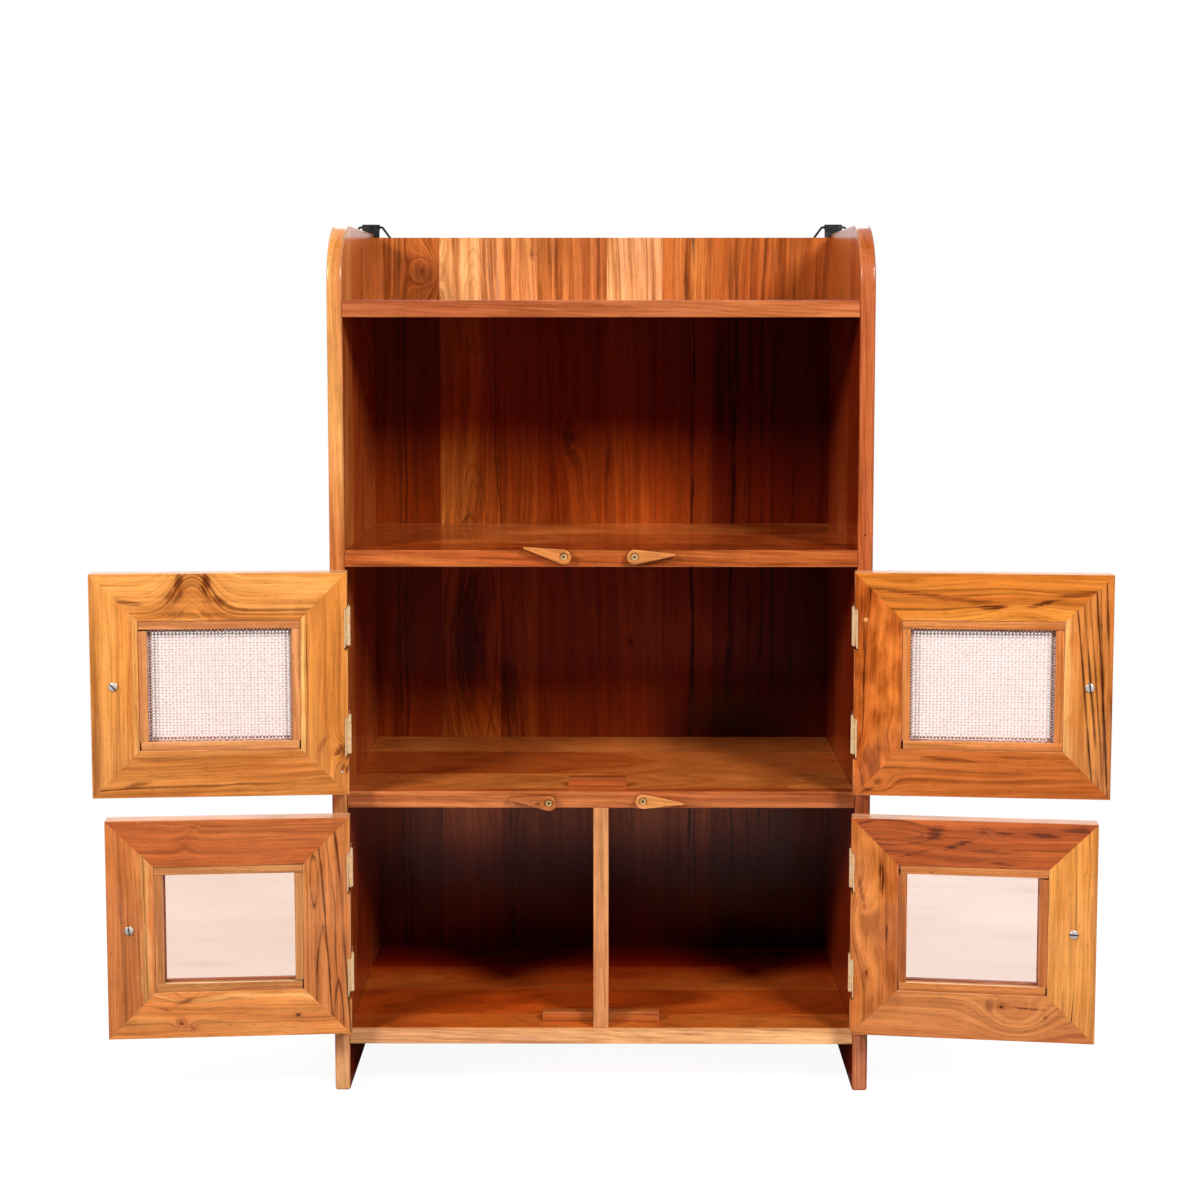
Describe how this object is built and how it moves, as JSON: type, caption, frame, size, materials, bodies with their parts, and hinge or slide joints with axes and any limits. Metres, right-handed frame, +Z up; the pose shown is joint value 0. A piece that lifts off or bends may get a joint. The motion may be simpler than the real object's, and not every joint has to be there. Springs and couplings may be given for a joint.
{
  "type": "glass-door cabinet",
  "caption": "Teak cabinet with a round-cornered top tray, an open shelf, inset wire-mesh doors over inset glass doors, wooden turn buttons and rear wall hangers.",
  "frame": {"origin": "on the floor under the middle of the part's box at rest, doors standing open; x = 0 is the cabinet's centre plane", "axes": "+Z up, +X to the viewer's right, +Y from the open front to the back"},
  "size_m": [1.1308, 0.3705, 1.0013],
  "materials": {
    "teak": "orange-red teak under a gloss varnish",
    "brass": "polished brass",
    "steel": "bright plain steel",
    "iron": "black painted steel",
    "glass": "clear float glass"
  },
  "bodies": {
    "carcass": {"left_side_panel": "teak", "right_side_panel": "teak", "back_panel": "teak", "top_shelf": "teak", "open_shelf": "teak", "cupboard_shelf": "teak", "bottom_shelf": "teak", "centre_divider": "teak", "upper_door_stop": "teak", "lower_left_door_stop": "teak", "lower_right_door_stop": "teak", "left_hanger": "iron", "right_hanger": "iron", "upper_left_turn_button_screw": "brass", "upper_right_turn_button_screw": "brass", "lower_left_turn_button_screw": "brass", "lower_right_turn_button_screw": "brass", "upper_left_top_hinge_case_leaf": "brass", "upper_left_bottom_hinge_case_leaf": "brass", "upper_right_top_hinge_case_leaf": "brass", "upper_right_bottom_hinge_case_leaf": "brass", "lower_left_top_hinge_case_leaf": "brass", "lower_left_bottom_hinge_case_leaf": "brass", "lower_right_top_hinge_case_leaf": "brass", "lower_right_bottom_hinge_case_leaf": "brass"},
    "upper_left_door": {"upper_left_door_frame": "teak", "upper_left_door_mesh": "steel", "upper_left_door_bead": "teak", "upper_left_knob": "teak", "upper_left_knob_screw": "steel", "upper_left_top_hinge_door_leaf": "brass", "upper_left_bottom_hinge_door_leaf": "brass"},
    "upper_right_door": {"upper_right_door_frame": "teak", "upper_right_door_mesh": "steel", "upper_right_door_bead": "teak", "upper_right_knob": "teak", "upper_right_knob_screw": "steel", "upper_right_top_hinge_door_leaf": "brass", "upper_right_bottom_hinge_door_leaf": "brass"},
    "lower_left_door": {"lower_left_door_frame": "teak", "lower_left_door_glass": "glass", "lower_left_door_bead": "teak", "lower_left_knob": "teak", "lower_left_knob_screw": "steel", "lower_left_top_hinge_door_leaf": "brass", "lower_left_bottom_hinge_door_leaf": "brass"},
    "lower_right_door": {"lower_right_door_frame": "teak", "lower_right_door_glass": "glass", "lower_right_door_bead": "teak", "lower_right_knob": "teak", "lower_right_knob_screw": "steel", "lower_right_top_hinge_door_leaf": "brass", "lower_right_bottom_hinge_door_leaf": "brass"},
    "upper_left_button": {"upper_left_turn_button": "teak"},
    "upper_right_button": {"upper_right_turn_button": "teak"},
    "lower_left_button": {"lower_left_turn_button": "teak"},
    "lower_right_button": {"lower_right_turn_button": "teak"},
    "left_bail": {"left_hanger_bail": "iron"},
    "right_bail": {"right_hanger_bail": "iron"}
  },
  "joints": [
    {"name": "upper_left_door_swing", "type": "hinge", "parent": "carcass", "child": "upper_left_door", "pos_m": [-0.2845, -0.13078, 0.3516], "axis": [0, 0, -1], "range_deg": [-175.9, 19.1]},
    {"name": "upper_right_door_swing", "type": "hinge", "parent": "carcass", "child": "upper_right_door", "pos_m": [0.2845, -0.13078, 0.3516], "axis": [0, 0, 1], "range_deg": [-175.5, 19.5]},
    {"name": "lower_left_door_swing", "type": "hinge", "parent": "carcass", "child": "lower_left_door", "pos_m": [-0.2845, -0.13078, 0.0766], "axis": [0, 0, -1], "range_deg": [-175.7, 19.3]},
    {"name": "lower_right_door_swing", "type": "hinge", "parent": "carcass", "child": "lower_right_door", "pos_m": [0.2845, -0.13078, 0.0766], "axis": [0, 0, 1], "range_deg": [-173.4, 21.6]},
    {"name": "upper_left_button_turn", "type": "hinge", "parent": "carcass", "child": "upper_left_button", "pos_m": [-0.0418, -0.12788, 0.6171], "axis": [0, 1, 0], "range_deg": [-153, 127]},
    {"name": "upper_right_button_turn", "type": "hinge", "parent": "carcass", "child": "upper_right_button", "pos_m": [0.0376, -0.12788, 0.6171], "axis": [0, 1, 0], "range_deg": [-137, 143]},
    {"name": "lower_left_button_turn", "type": "hinge", "parent": "carcass", "child": "lower_left_button", "pos_m": [-0.059, -0.12788, 0.3369], "axis": [0, 1, 0], "continuous": true},
    {"name": "lower_right_button_turn", "type": "hinge", "parent": "carcass", "child": "lower_right_button", "pos_m": [0.0473, -0.12788, 0.3392], "axis": [0, 1, 0], "continuous": true},
    {"name": "left_bail_swing", "type": "hinge", "parent": "carcass", "child": "left_bail", "pos_m": [-0.2915, 0.18172, 0.9975], "axis": [1, 0, 0], "range_deg": [0, 250]},
    {"name": "right_bail_swing", "type": "hinge", "parent": "carcass", "child": "right_bail", "pos_m": [0.2915, 0.18172, 0.9975], "axis": [1, 0, 0], "range_deg": [0, 250]}
  ]
}
